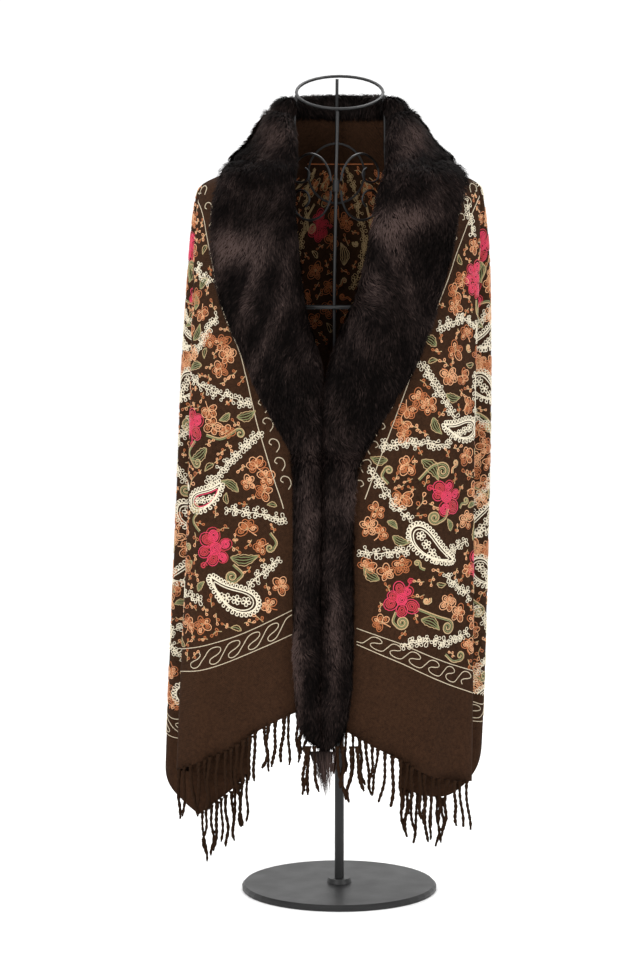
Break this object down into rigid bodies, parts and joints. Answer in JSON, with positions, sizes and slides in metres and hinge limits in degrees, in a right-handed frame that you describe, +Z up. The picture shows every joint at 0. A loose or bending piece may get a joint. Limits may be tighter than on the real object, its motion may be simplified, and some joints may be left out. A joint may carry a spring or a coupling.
{
  "type": "poncho scarf on a limbless wire dress form",
  "caption": "Fringed wool shawl with a fur collar and floral embroidery, draped as a poncho on a wire dress form with a round base.",
  "frame": {"origin": "centre of the bounding box's underside, which is the underside of the base plate", "axes": "+Z up along the dress form, -Y towards the front of the shawl, +X to the viewer's right"},
  "size_m": [0.4156, 0.2614, 1.0418],
  "materials": {
    "shawl_cloth": "dark chocolate-brown brushed wool twill, matt, with a soft nap",
    "fur": "long-pile faux fur, dark grey-brown with silvery highlights",
    "fringe_yarn": "twisted dark-brown wool strands, matt",
    "thread_cream": "cream chain-stitch thread, slightly glossy",
    "thread_sand": "sand-coloured border thread, slightly glossy",
    "thread_crimson": "crimson chain-stitch thread, slightly glossy",
    "thread_rose": "rose chain-stitch thread, slightly glossy",
    "thread_peach": "peach chain-stitch thread, slightly glossy",
    "thread_rust": "rust chain-stitch thread, slightly glossy",
    "thread_green": "leaf-green chain-stitch thread, slightly glossy",
    "thread_tan": "tan chain-stitch thread, slightly glossy",
    "black_iron": "satin black iron wire"
  },
  "bodies": {
    "root": {"shawl_front_left": "shawl_cloth", "shawl_front_right": "shawl_cloth", "shawl_side_left": "shawl_cloth", "shawl_side_right": "shawl_cloth", "shawl_flank_left": "shawl_cloth", "shawl_flank_right": "shawl_cloth", "shawl_back": "shawl_cloth", "fur_collar_left": "fur", "fur_collar_right": "fur", "fur_collar_back": "fur", "fur_band_left": "fur", "fur_band_right": "fur", "fringe_front_left": "fringe_yarn", "fringe_front_right": "fringe_yarn", "fringe_under_left": "fringe_yarn", "fringe_under_right": "fringe_yarn", "neck_ring": "black_iron", "chest_ring": "black_iron", "waist_ring": "black_iron", "bottom_ring": "black_iron", "front_wire": "black_iron", "back_wire": "black_iron", "side_wire_left": "black_iron", "side_wire_right": "black_iron", "shoulder_wire_left": "black_iron", "shoulder_wire_right": "black_iron", "scroll_upper_left": "black_iron", "scroll_upper_right": "black_iron", "scroll_lower_left": "black_iron", "scroll_lower_right": "black_iron", "scroll_binding": "black_iron", "back_loop": "black_iron", "spoke_left": "black_iron", "spoke_right": "black_iron", "spoke_front": "black_iron", "spoke_back": "black_iron", "hub": "black_iron", "pole": "black_iron", "base": "black_iron"}
  },
  "joints": []
}
